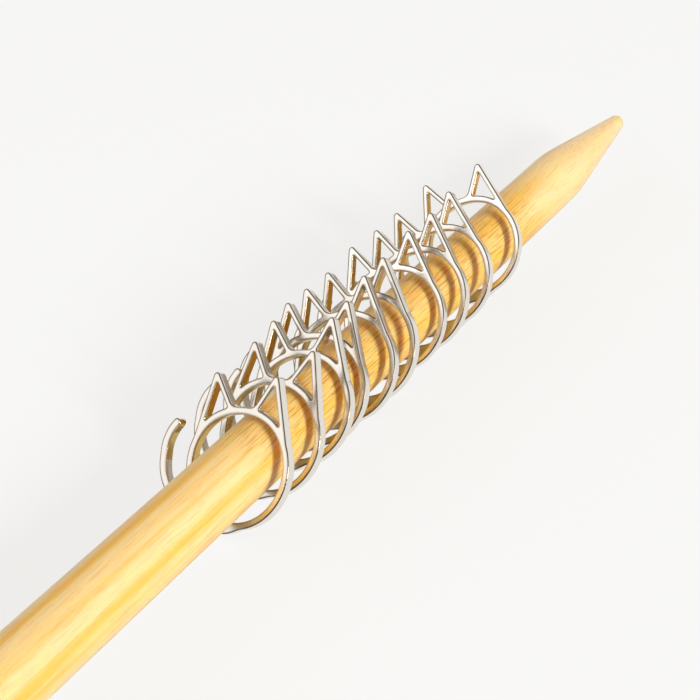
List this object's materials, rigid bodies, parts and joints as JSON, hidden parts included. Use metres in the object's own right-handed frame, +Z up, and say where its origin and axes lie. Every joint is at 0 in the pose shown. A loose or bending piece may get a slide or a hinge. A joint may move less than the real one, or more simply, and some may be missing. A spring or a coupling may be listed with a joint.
{
  "type": "stitch marker",
  "caption": "Cast metal stitch markers, each a closed ring with two open ears and a curled tail, threaded on a straight bamboo knitting needle with a turned end stopper.",
  "frame": {"origin": "on the table under the middle of the set's bounding box", "axes": "+X along the needle towards its tip, +Y to the side the markers' tails point to, +Z up"},
  "size_m": [0.25, 0.0198, 0.0177],
  "materials": {
    "marker_metal": "bright nickel-plated casting with softly rounded edges",
    "needle_bamboo": "smooth waxed bamboo with long lengthwise grain",
    "stopper_wood": "smooth turned bamboo, satin"
  },
  "bodies": {
    "needle_body": {"needle": "needle_bamboo", "stopper": "stopper_wood"},
    "marker_01_body": {"marker_01": "marker_metal"},
    "marker_02_body": {"marker_02": "marker_metal"},
    "marker_03_body": {"marker_03": "marker_metal"},
    "marker_04_body": {"marker_04": "marker_metal"},
    "marker_05_body": {"marker_05": "marker_metal"},
    "marker_06_body": {"marker_06": "marker_metal"},
    "marker_07_body": {"marker_07": "marker_metal"},
    "marker_08_body": {"marker_08": "marker_metal"},
    "marker_09_body": {"marker_09": "marker_metal"},
    "marker_10_body": {"marker_10": "marker_metal"}
  },
  "joints": [
    {"name": "marker_01_slide", "type": "slide", "parent": "needle_body", "child": "marker_01_body", "axis": [1, 0, 0], "range_m": [-0.127, 0.0023]},
    {"name": "marker_02_slide", "type": "slide", "parent": "needle_body", "child": "marker_02_body", "axis": [1, 0, 0], "range_m": [-0.0023, 0.0019]},
    {"name": "marker_03_slide", "type": "slide", "parent": "needle_body", "child": "marker_03_body", "axis": [1, 0, 0], "range_m": [-0.0019, 0.0007]},
    {"name": "marker_04_slide", "type": "slide", "parent": "needle_body", "child": "marker_04_body", "axis": [1, 0, 0], "range_m": [-0.0007, 0.0017]},
    {"name": "marker_05_slide", "type": "slide", "parent": "needle_body", "child": "marker_05_body", "axis": [1, 0, 0], "range_m": [-0.0017, 0.0011]},
    {"name": "marker_06_slide", "type": "slide", "parent": "needle_body", "child": "marker_06_body", "axis": [1, 0, 0], "range_m": [-0.0011, 0.0023]},
    {"name": "marker_07_slide", "type": "slide", "parent": "needle_body", "child": "marker_07_body", "axis": [1, 0, 0], "range_m": [-0.0023, 0.0015]},
    {"name": "marker_08_slide", "type": "slide", "parent": "needle_body", "child": "marker_08_body", "axis": [1, 0, 0], "range_m": [-0.0015, 0.0021]},
    {"name": "marker_09_slide", "type": "slide", "parent": "needle_body", "child": "marker_09_body", "axis": [1, 0, 0], "range_m": [-0.0021, 0.0034]},
    {"name": "marker_10_slide", "type": "slide", "parent": "needle_body", "child": "marker_10_body", "axis": [1, 0, 0], "range_m": [-0.0034, 0.058]}
  ]
}
